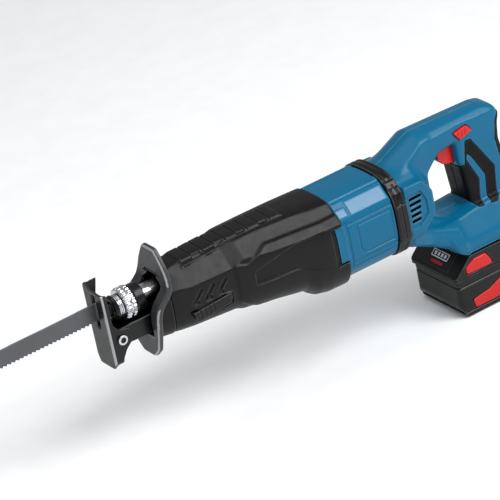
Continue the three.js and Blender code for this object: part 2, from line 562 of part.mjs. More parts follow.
function addBattery() {
  const baseOutside = sidePrism(BASE_LINE, [-40, 40], 3).intersect(planPrism(BASE_PLAN, [-170, -110], 5));
  const baseRoom = block([363, 471.5], [-33.5, 33.5], [-158, -110]);
  const labelRooms = [-1, 1].map((side) => label(side, 0.35));
  add('battery_base', cut(baseOutside, baseRoom, ...labelRooms), BLACK_PLASTIC);

  const topOutside = sidePrism(TOP_LINE, [-40, 40], 2).intersect(planPrism(TOP_PLAN, [-130, -90], 5));
  const railNeck = block([386, 468], [-21, 21], [-99, -91]);
  const railHead = block([386, 468], [-26.6, 26.6], [-91.9, -87.3]);
  const railRoomInside = block([389, 465], [-18, 18], [-105, -89.5]);
  const slope = [[366, -122], [366, -114], [381, -101.5], [472, -101.5], [472, -122]];
  const topRoom = sidePrism(slope, [-34.5, 34.5]);
  const buttonRooms = [-1, 1].map((side) => latch(side, true));
  const contactSlots = [-12, 0, 12].map((y) => block([387, 400], [y - 2, y + 2], [-95, -80]));
  add('battery_top', cut(join(topOutside, railNeck, railHead), topRoom, railRoomInside, ...buttonRooms,
    ...contactSlots, gauge(0.35)), BLACK_PLASTIC);

  const cells = [];
  for (let row = 0; row < 2; row += 1) {
    for (let i = 0; i < 5; i += 1) {
      cells.push(rod('y', [-32.2, 32.2], 9, [376 + i * 19, -148 + row * 19], 12));
    }
  }
  const strips = [-32.6, 32.6].map((y) => block([370, 458], [y - 0.4, y + 0.4], [-150, -127]));
  add('cell_pack', join(...cells, ...strips), CELL_WRAP);
  add('battery_board', block([380, 460], [-24, 24], [-110, -108.4]), BOARD);
  const blades = [-12, 0, 12].map((y) => block([389.5, 398], [y - 0.8, y + 0.8], [-108, -92]));
  add('battery_contacts', join(block([388, 402], [-17, 17], [-108, -105.5]), ...blades), BRONZE);
  add('gauge_panel', gauge(0), BLACK_PLASTIC);
  [-1, 1].forEach((side) => {
    const end = side < 0 ? 'left' : 'right';
    add(`battery_label_${end}`, label(side, 0), RED_PLASTIC);
    add(`battery_button_${end}`, latch(side, false), RED_PLASTIC);
  });
}

function gauge(extra) {
  const tilt = Math.atan2(BATTERY.top + 118.6, 22);
  const plate = new THREE.BoxGeometry(20 + 2 * extra, 40 + 2 * extra, 1.6 + 2 * extra);
  return solid(plate.rotateY(-tilt).translate(368.4, 0, -108.9));
}

function label(side, extra) {
  const span = side < 0 ? [-36.3 - extra, -35 + extra] : [35 - extra, 36.3 + extra];
  return sidePrism(extra > 0 ? inset(LABEL_LINE, -extra) : LABEL_LINE, span, 2);
}

function latch(side, room) {
  const line = room ? inset(LATCH_LINE, -0.4) : LATCH_LINE;
  const reach = room ? [30, 45] : [33.4, 38.6];
  return sidePrism(line, side < 0 ? [-reach[1], -reach[0]] : reach, 1.5);
}

addBlade();
addPlunger();
addBladeClamp();
addShoe();
addShoeLever();
addBoot();
addGuard();
addGearHousing();
addWobbleDrive();
addMotor();
addMotorHousing();
addRearShells();
addGripParts();
addElectrics();
addBattery();

export default saw;
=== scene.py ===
"""The looks of a cordless reciprocating saw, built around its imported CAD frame.

Shapes are written in the saw's own millimetres: x runs rearwards from the face of the shoe, y is 0 on the
middle plane with the saw's left side at -y, and z runs up from the plunger axis. Each piece is made as a
distance field, negative inside, which gives edges the soft radius of a real moulding or casting.
"""

import json
import math

import bpy
import numpy as np
from mathutils import Matrix, Vector


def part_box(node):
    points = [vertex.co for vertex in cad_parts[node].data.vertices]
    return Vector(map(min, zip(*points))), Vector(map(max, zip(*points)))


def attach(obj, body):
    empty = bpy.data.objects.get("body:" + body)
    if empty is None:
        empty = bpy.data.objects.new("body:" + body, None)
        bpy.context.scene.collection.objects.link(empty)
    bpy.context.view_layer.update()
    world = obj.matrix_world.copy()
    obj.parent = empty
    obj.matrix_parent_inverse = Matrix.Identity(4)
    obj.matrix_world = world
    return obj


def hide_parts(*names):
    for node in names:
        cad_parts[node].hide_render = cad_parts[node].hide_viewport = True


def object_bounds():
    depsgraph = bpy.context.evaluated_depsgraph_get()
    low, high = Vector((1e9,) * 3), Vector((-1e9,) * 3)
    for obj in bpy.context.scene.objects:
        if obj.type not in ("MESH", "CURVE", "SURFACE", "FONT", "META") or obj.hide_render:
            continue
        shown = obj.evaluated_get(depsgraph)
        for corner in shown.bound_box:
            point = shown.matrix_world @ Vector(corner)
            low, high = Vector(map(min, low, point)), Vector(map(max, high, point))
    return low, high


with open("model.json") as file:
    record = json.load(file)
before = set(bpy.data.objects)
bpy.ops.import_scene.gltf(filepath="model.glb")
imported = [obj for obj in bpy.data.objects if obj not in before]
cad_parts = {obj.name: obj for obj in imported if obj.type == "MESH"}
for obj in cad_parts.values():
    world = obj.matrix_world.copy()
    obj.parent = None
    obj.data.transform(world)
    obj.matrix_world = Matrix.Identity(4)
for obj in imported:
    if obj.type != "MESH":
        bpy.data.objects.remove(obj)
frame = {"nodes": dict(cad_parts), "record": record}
start_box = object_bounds()

MM = 0.001
COARSE = 1.0
plunger_low, plunger_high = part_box("plunger")
ORIGIN = Vector((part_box("shoe_plate")[0].x, 0, (plunger_low.z + plunger_high.z) / 2))
BODY_OF = {node: body for body, nodes in frame["record"]["behaviour"]["bodies"].items() for node in nodes}


# ---- distance fields -----------------------------------------------------------------------------
class Space:
    """A box of space cut into cells of one size, in millimetres. x, y and z are its grid lines."""

    def __init__(self, low, high, step):
        self.step = step * COARSE
        self.low = np.array(low, float) - 0.37 * self.step
        lines = [np.arange(a, b + self.step, self.step, dtype=np.float32) for a, b in zip(self.low, high)]
        self.x, self.y, self.z = np.meshgrid(*lines, indexing="ij", sparse=True)
        self.shape = tuple(len(line) for line in lines)


def join(*fields):
    """What lies in any of the fields."""
    result = fields[0]
    for field in fields[1:]:
        result = np.minimum(result, field)
    return result


def meet(*fields):
    """What lies in all of the fields."""
    result = fields[0]
    for field in fields[1:]:
        result = np.maximum(result, field)
    return result


def cut(body, *tools):
    """The body with the tools taken away."""
    return meet(body, *[-tool for tool in tools])


def ease_join(a, b, radius):
    """Both fields together, with a fillet where they meet."""
    overlap = np.maximum(radius - np.abs(a - b), 0) / radius
    return np.minimum(a, b) - overlap * overlap * radius / 4


def ease_meet(a, b, radius):
    return -ease_join(-a, -b, radius)


def ease_cut(body, tool, radius):
    return -ease_join(-body, tool, radius)


def soften(field, passes):
    """Rounds every edge of a field, inner and outer."""
    for _ in range(max(1, round(passes / COARSE ** 2))):
        for axis in range(3):
            if field.shape[axis] > 2:
                lines = np.swapaxes(field, 0, axis)
                middle = 0.25 * lines[:-2] + 0.5 * lines[1:-1] + 0.25 * lines[2:]
                field = np.swapaxes(np.concatenate([lines[:1], middle, lines[-1:]]), 0, axis)
    return field


def slab(line, low, high):
    return np.abs(line - (low + high) / 2) - (high - low) / 2


def block(space, xs, ys, zs):
    return meet(slab(space.x, *xs), slab(space.y, *ys), slab(space.z, *zs))


def flat(points, u, v):
    """Distance in the plane of u and v from a closed outline."""
    near = np.float32(1e9)
    inside = False
    for (au, av), (bu, bv) in zip(points, points[1:] + points[:1]):
        eu, ev = bu - au, bv - av
        along = np.clip(((u - au) * eu + (v - av) * ev) / (eu * eu + ev * ev), 0, 1)
        near = np.minimum(near, (u - au - eu * along) ** 2 + (v - av - ev * along) ** 2)
        if ev != 0:
            inside = inside ^ (((av > v) != (bv > v)) & (u < eu * (v - av) / ev + au))
    distance = np.sqrt(near)
    return np.where(inside, -distance, distance)


def side_prism(space, points, ys, passes=0):
    """An x-z outline carried along y."""
    outline = flat(points, space.x, space.z)
    return meet(soften(outline, passes) if passes else outline, slab(space.y, *ys))


def rod(space, axis, span, radius, centre):
    """A cylinder along one axis, with its centre given on the other two."""
    lines = {"x": space.x, "y": space.y, "z": space.z}
    others = [lines[name] for name in "xyz" if name != axis]
    reach = np.sqrt((others[0] - centre[0]) ** 2 + (others[1] - centre[1]) ** 2)
    return meet(reach - radius, slab(lines[axis], *span))


def lofted(space, sections, power, margin=0):
    """A body along x through superellipse sections (x, half width, top, bottom)."""
    stations, halves, tops, bottoms = zip(*sections)
    half = np.interp(space.x, stations, halves) - margin
    top = np.interp(space.x, stations, tops) - margin
    bottom = np.interp(space.x, stations, bottoms) + margin
    rise = (top - bottom) / 2
    across = (np.abs(space.y) / half) ** power
    upright = (np.abs(space.z - (top + bottom) / 2) / rise) ** power
    return (((across + upright) ** (1 / power) - 1) * np.minimum(half, rise)).astype(np.float32)


CORNERS = [(i, j, k) for i in (0, 1) for j in (0, 1) for k in (0, 1)]
CELL_EDGES = [(a, b) for a in CORNERS for b in CORNERS
              if sum(b) - sum(a) == 1 and all(q >= p for p, q in zip(a, b))]


def sample(field, cells, part):
    """The field and its slope inside the given cells, part of the way across each."""
    value = np.zeros(len(cells))
    slope = np.zeros((len(cells), 3))
    for corner in CORNERS:
        at = field[cells[:, 0] + corner[0], cells[:, 1] + corner[1], cells[:, 2] + corner[2]]
        shares = [part[:, k] if corner[k] else 1 - part[:, k] for k in range(3)]
        value += at * shares[0] * shares[1] * shares[2]
        slope[:, 0] += at * shares[1] * shares[2] * (1 if corner[0] else -1)
        slope[:, 1] += at * shares[0] * shares[2] * (1 if corner[1] else -1)
        slope[:, 2] += at * shares[0] * shares[1] * (1 if corner[2] else -1)
    return value, slope


def outward_faces(inside, index):
    """A four-sided face round every grid edge that the surface crosses, turned outwards."""
    faces = []
    for axis in range(3):
        turned = np.moveaxis(inside, axis, 0)
        i, j, k = np.argwhere(turned[:-1, 1:-1, 1:-1] != turned[1:, 1:-1, 1:-1]).T
        grid = np.moveaxis(index, axis, 0)
        corners = [grid[i, j, k], grid[i, j + 1, k], grid[i, j + 1, k + 1], grid[i, j, k + 1]]
        quads = np.stack(corners, axis=1)
        outward = turned[i, j + 1, k + 1] ^ (axis == 1)
        quads[~outward] = quads[~outward][:, ::-1]
        faces.append(quads)
    return np.concatenate(faces)


def skin(space, field):
    """The surface where the field is 0: vertices in millimetres, their normals, and four-sided faces."""
    field = np.ascontiguousarray(np.broadcast_to(field, space.shape))
    inside = field < 0
    cell_shape = [lines - 1 for lines in inside.shape]
    count = np.zeros(cell_shape, np.int8)
    for corner in CORNERS:
        count += inside[tuple(slice(first, first + length) for first, length in zip(corner, cell_shape))]
    cells = np.argwhere((count > 0) & (count < 8))
    index = np.full(count.shape, -1)
    index[tuple(cells.T)] = np.arange(len(cells))
    part = np.zeros((len(cells), 3))
    crossings = np.zeros(len(cells))
    for a, b in CELL_EDGES:
        fa = field[tuple((cells + a).T)]
        fb = field[tuple((cells + b).T)]
        crosses = (fa < 0) != (fb < 0)
        share = fa[crosses] / (fa[crosses] - fb[crosses])
        part[crosses] += np.array(a) + share[:, None] * (np.array(b) - np.array(a))
        crossings[crosses] += 1
    part /= crossings[:, None]
    for _ in range(2):
        value, slope = sample(field, cells, part)
        steep = np.maximum((slope ** 2).sum(1), 0.2 * space.step ** 2)
        part = np.clip(part - slope * (value / steep)[:, None], 0.02, 0.98)
    _, slope = sample(field, cells, part)
    normals = slope / np.maximum(np.linalg.norm(slope, axis=1), 1e-9)[:, None]
    return space.low + (cells + part) * space.step, normals, outward_faces(inside, index)


def piece(name, space, field, material):
    """Turns a field into the object that stands for the CAD node of the same name."""
    points, normals, faces = skin(space, field)
    mesh = bpy.data.meshes.new(name)
    mesh.from_pydata((np.array(ORIGIN) + points * MM).tolist(), [], faces.tolist())
    mesh.polygons.foreach_set("use_smooth", np.ones(len(faces), bool))
    mesh.normals_split_custom_set_from_vertices(normals.tolist())
    mesh.materials.append(material)
    made = bpy.data.objects.new(name, mesh)
    bpy.context.scene.collection.objects.link(made)
    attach(made, BODY_OF[name])
    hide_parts(name)
    return made


def paint(made, material, chosen):
    """Gives a second finish to the faces whose centres, in millimetres, are chosen."""
    centres = np.zeros(len(made.data.polygons) * 3)
    made.data.polygons.foreach_get("center", centres)
    x, y, z = ((centres.reshape(-1, 3) - np.array(ORIGIN)) / MM).T
    made.data.materials.append(material)
    indices = np.zeros(len(x), np.int32)
    made.data.polygons.foreach_get("material_index", indices)
    indices[chosen(x, y, z)] = len(made.data.materials) - 1
    made.data.polygons.foreach_set("material_index", indices)


# ---- finishes ------------------------------------------------------------------------------------
def linear(colour, factor=1.0):
    """A display colour of 0 to 255 as the linear colour that shaders use."""
    return [min(1, factor * (c / 255) ** 2.2) for c in colour] + [1]


def new_node(material, kind, **inputs):
    """A shader node with its inputs set. An underscore stands for a space in an input's name."""
    node = material.node_tree.nodes.new(kind)
    for name, value in inputs.items():
        node.inputs[name.replace("_", " ")].default_value = value
    return node


def worn_and_glinting_edges(material, base, colour, wear_and_glint, smudge):
    """The base colour, lightened in patches along the outer edges: edge wear, and in part a painted
    highlight on the edges.
    """
    link = material.node_tree.links.new
    edges = new_node(material, "ShaderNodeNewGeometry")
    ramp = new_node(material, "ShaderNodeMapRange", From_Min=0.515, From_Max=0.6, To_Min=0.0, To_Max=wear_and_glint)
    link(edges.outputs["Pointiness"], ramp.inputs["Value"])
    patchy = new_node(material, "ShaderNodeMath")
    patchy.operation = "MULTIPLY"
    link(ramp.outputs["Result"], patchy.inputs[0])
    link(smudge.outputs["Fac"], patchy.inputs[1])
    worn_and_glinting = new_node(material, "ShaderNodeMix")
    worn_and_glinting.data_type = "RGBA"
    link(patchy.outputs["Value"], worn_and_glinting.inputs[0])
    link(base, worn_and_glinting.inputs[6])
    worn_and_glinting.inputs[7].default_value = linear([c + (255 - c) * 0.45 for c in colour])
    return worn_and_glinting.outputs[2]


def finish(name, colour, rough, metal=0.0, grain=0.6, bump=0.02, wear_and_glint=0.0, streak=(1, 1, 1),
           mottle=0.82, shine=0.5):
    """A procedural finish. grain is the size of its finest detail and bump its height, both in millimetres.
    streak stretches the grain, wear_and_glint lightens the outer edges with edge wear and, in part, a
    painted highlight, mottle is its darkest shade and shine its specular level."""
    material = bpy.data.materials.new(name)
    material.use_nodes = True
    link = material.node_tree.links.new
    shader = material.node_tree.nodes["Principled BSDF"]
    shader.inputs["Metallic"].default_value = metal
    shader.inputs["Specular IOR Level"].default_value = shine
    place = new_node(material, "ShaderNodeTexCoord")
    mapping = new_node(material, "ShaderNodeMapping", Scale=streak)
    link(place.outputs["Object"], mapping.inputs["Vector"])
    broad = new_node(material, "ShaderNodeTexNoise", Scale=28, Detail=4, Roughness=0.6)
    fine = new_node(material, "ShaderNodeTexNoise", Scale=1000 / grain, Detail=3, Roughness=0.65)
    smudge = new_node(material, "ShaderNodeTexNoise", Scale=120, Detail=5, Roughness=0.7)
    for texture in (broad, smudge):
        link(place.outputs["Object"], texture.inputs["Vector"])
    link(mapping.outputs["Vector"], fine.inputs["Vector"])

    tone = new_node(material, "ShaderNodeMix")
    tone.data_type = "RGBA"
    tone.inputs[6].default_value = linear(colour, mottle)
    tone.inputs[7].default_value = linear(colour, 1.08)
    link(broad.outputs["Fac"], tone.inputs[0])
    colour_out = tone.outputs[2]
    # Lighter outer edges: edge wear, and in part a painted highlight.
    if wear_and_glint:
        colour_out = worn_and_glinting_edges(material, colour_out, colour, wear_and_glint, smudge)
    link(colour_out, shader.inputs["Base Color"])

    gloss = new_node(material, "ShaderNodeMapRange", From_Min=0.3, From_Max=0.7,
                     To_Min=rough * 0.86, To_Max=min(1, rough * 1.16))
    link(smudge.outputs["Fac"], gloss.inputs["Value"])
    link(gloss.outputs["Result"], shader.inputs["Roughness"])
    relief = new_node(material, "ShaderNodeBump", Strength=0.9, Distance=bump * MM)
    link(fine.outputs["Fac"], relief.inputs["Height"])
    link(relief.outputs["Normal"], shader.inputs["Normal"])
    return material


BOOT_RUBBER = finish("boot_rubber", (12, 12, 13), 0.4, grain=0.7, bump=0.03, wear_and_glint=0.7, shine=0.22)
GRIP_RUBBER = finish("grip_rubber", (9, 9, 10), 0.5, grain=0.9, bump=0.06, wear_and_glint=0.3, shine=0.15)
# The guard's strong edge lightening is mostly a painted highlight on its edges.
GREY_RUBBER = finish("grey_rubber", (48, 49, 51), 0.4, grain=0.8, bump=0.02, wear_and_glint=1.6, shine=0.35)
# A light grey painted along the hand guard's ridge as a painted highlight.
GUARD_RIDGE_HIGHLIGHT = finish("guard_ridge_painted_highlight", (140, 141, 144), 0.36, grain=0.8, bump=0.02)
BLACK_PLASTIC = finish("black_plastic", (11, 11, 12), 0.3, grain=0.5, bump=0.02, wear_and_glint=0.8, shine=0.28)
BLUE_PLASTIC = finish("blue_plastic", (0, 87, 119), 0.32, grain=0.55, bump=0.02, wear_and_glint=0.5, mottle=0.93,
                      shine=0.2)
# A paler blue painted on the housing's facet plates as a painted reflection.
BLUE_PAINTED_REFLECTION = finish("blue_plastic_painted_reflection", (66, 112, 142), 0.34, grain=0.55, bump=0.02, wear_and_glint=0.3, mottle=0.94,
                    shine=0.35)
RED_PLASTIC = finish("red_plastic", (178, 20, 17), 0.36, grain=0.5, bump=0.02, wear_and_glint=0.4, mottle=0.9,
                     shine=0.35)
DARK_STEEL = finish("black_steel", (15, 16, 17), 0.34, metal=0.4, grain=0.6, bump=0.015, wear_and_glint=1.2)
BRIGHT_STEEL = finish("bright_steel", (196, 198, 202), 0.2, metal=1, grain=0.9, bump=0.002)
BLADE_STEEL = finish("blade_steel", (88, 90, 92), 0.4, metal=0.75, grain=0.8, bump=0.03, wear_and_glint=0.6,
                     streak=(0.08, 1, 1.6), mottle=0.75)
# A paler steel painted along the shoe's near bend as a painted highlight.
STEEL_BEND_HIGHLIGHT = finish("steel_painted_highlight", (150, 152, 155), 0.35, metal=0.8, grain=0.6, bump=0.01)
ALUMINIUM = finish("cast_aluminium", (168, 171, 174), 0.5, metal=1, grain=1.2, bump=0.06)
BRONZE = finish("bronze", (176, 141, 87), 0.4, metal=1, bump=0.02)
COPPER = finish("copper_windings", (184, 112, 60), 0.4, metal=1, grain=0.8, bump=0.1, streak=(1, 0.1, 1))
BOARD = finish("circuit_board", (29, 90, 52), 0.5, grain=1.5, bump=0.04)
CELL_WRAP = finish("cell_wrap", (60, 143, 90), 0.45, grain=2, bump=0.03)
WHITE_INK = finish("white_ink", (225, 227, 230), 0.4, grain=0.4, bump=0.01)
DARK_RED = finish("dark_red_ink", (150, 20, 26), 0.36, grain=0.5, bump=0.02)

HIDDEN_FINISHES = {
    ALUMINIUM: ["gear_housing", "motor_end_plate"],
    BRONZE: ["front_bush", "rear_bush", "battery_contacts"],
    COPPER: ["armature"],
    BOARD: ["controller_board", "battery_board"],
    CELL_WRAP: ["cell_pack"],
    BOOT_RUBBER: ["plunger_seal"],
    RED_PLASTIC: ["lead_red", "motor_lead"],
    DARK_STEEL: ["motor_can", "brush_upper", "brush_lower"],
    BLACK_PLASTIC: ["cooling_fan", "switch_module", "terminal_block", "lead_black"],
    BRIGHT_STEEL: ["shaft_bearing_front", "shaft_bearing_rear", "motor_bearing_front", "motor_bearing_rear",
                   "wobble_plate", "wobble_shaft", "wobble_gear", "drive_pinion", "lock_pin"],
}


def dress_hidden_nodes():
    for material, names in HIDDEN_FINISHES.items():
        for name in names:
            mesh = frame["nodes"][name].data
            mesh.materials.clear()
            mesh.materials.append(material)


# ---- front end -----------------------------------------------------------------------------------
# The boot's outer sections: x, half width, top, bottom.
BOOT = [(64, 27.5, 18.5, -44), (72, 29.5, 20, -45), (84, 31.5, 21, -46), (130, 33.5, 21.5, -49),
        (138, 35, 21.5, -52), (170, 39, 21, -55), (200, 41.5, 20, -60), (212, 43, 19.5, -69),
        (224, 44, 18.5, -71.5), (245, 44, 17.5, -72)]
# Its top corners are cut off at 45 degrees: x, and half width plus height along the cut.
BOOT_CORNER = [(64, 29), (74, 31.5), (128, 33.5), (142, 38.5), (225, 40), (245, 39.5)]
# The sections of the room inside it.
BOOT_ROOM = [(50, 27, 17, -43), (66, 28.3, 18, -44.5), (84, 32, 18, -48), (130, 34, 18, -52),
             (165, 39, 18, -54), (200, 42, 18, -60), (216, 44, 18, -71), (260, 45, 18, -72)]
BULGE_LINE = [(131, 3), (143, -1), (166, 9), (226, 6), (250, 6), (250, -80), (210, -80), (205, -58),
              (150, -50), (131, -36)]
RECESS_LINE = [(149, -10), (191, -1), (226, -1), (227, -41), (191, -25), (148, -24)]
POCKET_LINE = [(78, -22), (124, -19), (124, -33), (82, -37)]
NOTCH_X, NOTCH_Z = (231, 247), (-41, -4)
# The pads on its top: where the first gap starts, their pitch and half width, and the lowest groove.
PAD_START, PAD_PITCH, PAD_HALF, PAD_LOWEST = 87.2, 12.5, 14, 14


def boot_skin(space, margin):
    """The boot's plain outside, moved in by a margin."""
    stations, reach = zip(*BOOT_CORNER)
    corner = (np.abs(space.y) + space.z - np.interp(space.x, stations, reach)) / math.sqrt(2) + margin
    return meet(lofted(space, BOOT, 3, margin), corner.astype(np.float32))


def slanted_slot(space, start, end, width):
    """A capsule in side view, for a short moulded groove."""
    (au, av), (bu, bv) = start, end
    eu, ev = bu - au, bv - av
    along = np.clip(((space.x - au) * eu + (space.z - av) * ev) / (eu * eu + ev * ev), 0, 1)
    return np.sqrt((space.x - au - eu * along) ** 2 + (space.z - av - ev * along) ** 2) - width / 2


def cut_pads_apart(space, body):
    """Cuts the gaps between the top pads, a step beside every second one, and a border along them."""
    x, y = space.x, space.y
    above = PAD_LOWEST - space.z
    for i in range(9):
        start = PAD_START + PAD_PITCH * i
        gap = meet(slab(x, start, start + 1), np.abs(y) - PAD_HALF, above, -boot_skin(space, 0.2))
        body = ease_cut(body, gap, 0.4)
        if i % 2:
            step = meet(slab(x, start + 0.5, start + 9.8), slab(np.abs(y), 12.2, 15), above,
                        -boot_skin(space, 0.4))
            body = ease_cut(body, step, 0.5)
    border = meet(slab(np.abs(y), 14.5, 16.3), slab(x, 86, 201), above, -boot_skin(space, 1.1))
    return ease_cut(body, border, 0.6)


def cut_side_marks(space, body):
    """Cuts the recess on each side and the three hooked grooves ahead of it."""
    recess_floor = np.interp(space.x, [150, 226], [0.8, -1.5])
    recess = meet(soften(flat(RECESS_LINE, space.x, space.z), 3), -boot_skin(space, recess_floor))
    body = ease_cut(body, recess, 0.8)
    for i in range(3):
        start = (83.5 + 13 * i, -16)
        stroke = join(slanted_slot(space, start, (start[0] + 9.5, -6), 3.2),
                      slanted_slot(space, start, (start[0] + 4.5, -16.4), 3.2))
        body = ease_cut(body, meet(stroke, -boot_skin(space, 1.6)), 0.6)
    return body


def make_boot():
    space = Space((60, -50, -78), (250, 50, 28), 0.9)
    x, y, z = space.x, space.y, space.z
    body = meet(boot_skin(space, 0), slab(x, 64, 245))
    bulge = meet(boot_skin(space, -1.5), soften(flat(BULGE_LINE, x, z), 4), slab(x, 100, 245))
    body = soften(ease_join(body, bulge, 1.5), 2)
    pads = meet(boot_skin(space, -0.9), slab(y, -PAD_HALF, PAD_HALF), slab(x, 86, 199), -z)
    body = join(body, soften(pads, 1))
    body = cut_side_marks(space, cut_pads_apart(space, body))
    notch = meet(slab(x, *NOTCH_X), slab(z, *NOTCH_Z), 25 - np.abs(y), -boot_skin(space, 1.5))
    body = ease_cut(body, notch, 1)
    pocket = side_prism(space, POCKET_LINE, (-60, -29.3), 2)
    piece("rubber_boot", space, cut(body, pocket, lofted(space, BOOT_ROOM, 2.5, 3)), BOOT_RUBBER)


# The hand guard's outline from the front: half width and height.
GUARD_HALF = [(10, 42), (15, 35), (21, 25.5), (26, 14), (29.5, 1), (29.5, -12), (28, -24), (24, -38),
              (19, -52), (9, -61)]
# In side view it follows an S: the x and z of its middle, its sweep each way, and how gently it turns.
GUARD_MIDDLE, GUARD_BEND, GUARD_SWEEP, GUARD_TURN = 56.6, -1.5, 10, 9.5
NECK_X = (46, 63.7)


def guard_depth(x, z):
    """Distance rearwards from the guard's middle surface."""
    sweep = np.tanh((z - GUARD_BEND) / GUARD_TURN)
    slope = GUARD_SWEEP / GUARD_TURN * (1 - sweep ** 2)
    return (x - GUARD_MIDDLE - GUARD_SWEEP * sweep) / np.sqrt(1 + slope ** 2)


# The band along the guard's front outer edge that gets the painted highlight.
def on_guard_ridge_highlight(x, y, z):
    return (slab(guard_depth(x, z), -2.8, -1.4) < 0) & (abs(y) + abs(z) > 36)


def make_guard():
    space = Space((36, -36, -66), (76, 36, 48), 0.8)
    x, y, z = space.x, space.y, space.z
    through = guard_depth(x, z)
    outline = flat([(-half, height) for half, height in reversed(GUARD_HALF)] + GUARD_HALF, y, z)
    outline = soften(outline, 6)
    plate = meet(outline, slab(through, -3, 2.6), (outline - through - 1.3) / math.sqrt(2))
    neck = lofted(space, [(44, 23, 10, -43), (66, 28, 18, -45)], 3)
    neck = meet(neck, slab(x, *NECK_X), -through)
    hole = meet(slab(y, -16.5, 16.5), slab(z, -38, 18))
    arch = soften(meet(hole, np.abs(y) * 0.6 + z - 17.5), 3)
    boot_room = meet(boot_skin(space, -0.4), NECK_X[1] - x)
    body = soften(ease_join(plate, neck, 3), 1)
    body = cut(ease_cut(body, arch, 2), boot_room)
    guard = piece("hand_guard", space, body.astype(np.float32), GREY_RUBBER)
    # Faces more than 2 mm behind the guard's middle surface, its back and neck, are painted boot black as
    # painted shade.
    paint(guard, BOOT_RUBBER, lambda x, y, z: guard_depth(x, z) > 2)
    # A painted highlight along the guard's ridge.
    paint(guard, GUARD_RIDGE_HIGHLIGHT, on_guard_ridge_highlight)


# ---- motor housing -------------------------------------------------------------------------------
DRUM_MIDDLE, DRUM_RADIUS = -27, 42.5
DRUM = [(x, DRUM_RADIUS, DRUM_MIDDLE + DRUM_RADIUS, DRUM_MIDDLE - DRUM_RADIUS) for x in (200, 360)]


def drum(space, margin):
    """The rounder body that the housing, the ring and the shells are hollowed by."""
    return lofted(space, DRUM, 2.2, margin)


def drum_skin(space, margin):
    """The housing's boxier outside, with its top corners cut off at 45 degrees."""
    corner = (np.abs(space.y) + space.z - 38) / math.sqrt(2) + margin
    return meet(lofted(space, DRUM, 2.9, margin), corner)


# The raised plates on its slanted facets, painted paler as a painted reflection: their span of x, and of
# half width minus height.
PLATE_X, PLATE_LEAN = (259, 300.5), (18, 39)
SMALL_PLATE_X, SMALL_PLATE_LEAN = (246, 256), (25, 37)
PANEL_LINE = [(261, -11), (300, -11), (300, -41), (266, -41), (261, -36)]


# The faces of the facet plates, which get the painted reflection.
def on_painted_reflection_plate(x, y, z):
    lean = abs(y) - z
    large = (slab(x, *PLATE_X) < 0) & (slab(lean, *PLATE_LEAN) < 0)
    small = (slab(x, *SMALL_PLATE_X) < 0) & (slab(lean, *SMALL_PLATE_LEAN) < 0)
    return (large | small) & (abs(y) > 15) & (abs(y) + z > 35)


def make_motor_housing():
    space = Space((234, -47, -73), (305, 47, 20), 0.8)
    x, y, z = space.x, space.y, space.z
    lean = np.abs(y) - z
    ends = slab(x, 245.3, 302.7)
    sides = 20 - np.abs(y)
    body = meet(drum_skin(space, 0), ends)
    ridge = meet(drum_skin(space, -1.0), slab(np.abs(y), 17, 23.5), -z, ends)
    plate = meet(drum_skin(space, -0.9), slab(x, *PLATE_X), slab(lean, *PLATE_LEAN))
    small_plate = meet(drum_skin(space, -0.5), slab(x, *SMALL_PLATE_X), slab(lean, *SMALL_PLATE_LEAN))
    body = soften(join(body, ridge, plate, small_plate), 1)
    groove_floor = -drum_skin(space, 0.8)
    for level in (-6.8, -45.5, -50.5):
        line = meet(slab(x, 250, 303), slab(z, level - 0.7, level + 0.7), sides, groove_floor)
        body = ease_cut(body, line, 0.4)
    panel_edge = meet(np.abs(soften(flat(PANEL_LINE, x, z), 2)) - 0.8, sides, groove_floor)
    body = ease_cut(body, panel_edge, 0.4)
    step = meet(slab(x, 249.5, 251), slab(z, -52, -4), sides, -drum_skin(space, 0.9))
    body = cut(body, step, drum(space, 3))
    tab = meet(boot_skin(space, 0.3), -boot_skin(space, 1.4), slab(x, 236.5, 246.5),
               slab(z, NOTCH_Z[0] + 0.6, NOTCH_Z[1] - 0.6), 25 - np.abs(y))
    housing = piece("motor_housing", space, join(body, tab), BLUE_PLASTIC)
    # The facet plates are painted paler blue as a painted reflection.
    paint(housing, BLUE_PAINTED_REFLECTION, on_painted_reflection_plate)


def make_ring():
    space = Space((301, -48, -75), (318, 48, 20), 0.75)
    x, y, z = space.x, space.y, space.z
    body = meet(drum_skin(space, -1.6), slab(x, 303.2, 316.2))
    for groove_x in (306.3, 312.9):
        groove = meet(slab(x, groove_x - 0.7, groove_x + 0.7), -drum_skin(space, -0.5))
        body = ease_cut(body, groove, 0.5)
    clasp = meet(drum_skin(space, -3.2), slab(np.abs(y), 30, 48), slab(z, -50, -11), slab(x, 304.5, 316.2))
    upper_clasp = meet(drum_skin(space, -2.8), slab(np.abs(y) - z, 20, 31), slab(x, 304, 316.2))
    body = soften(join(body, clasp, upper_clasp), 1)
    slit = meet(slab(x, 309.6, 310.8), slab(np.abs(y) - z, 26, 90), slab(np.abs(y), 25, 50),
                -drum_skin(space, -2.2))
    piece("housing_ring", space, cut(body, slit, drum(space, 3)), BLACK_PLASTIC)


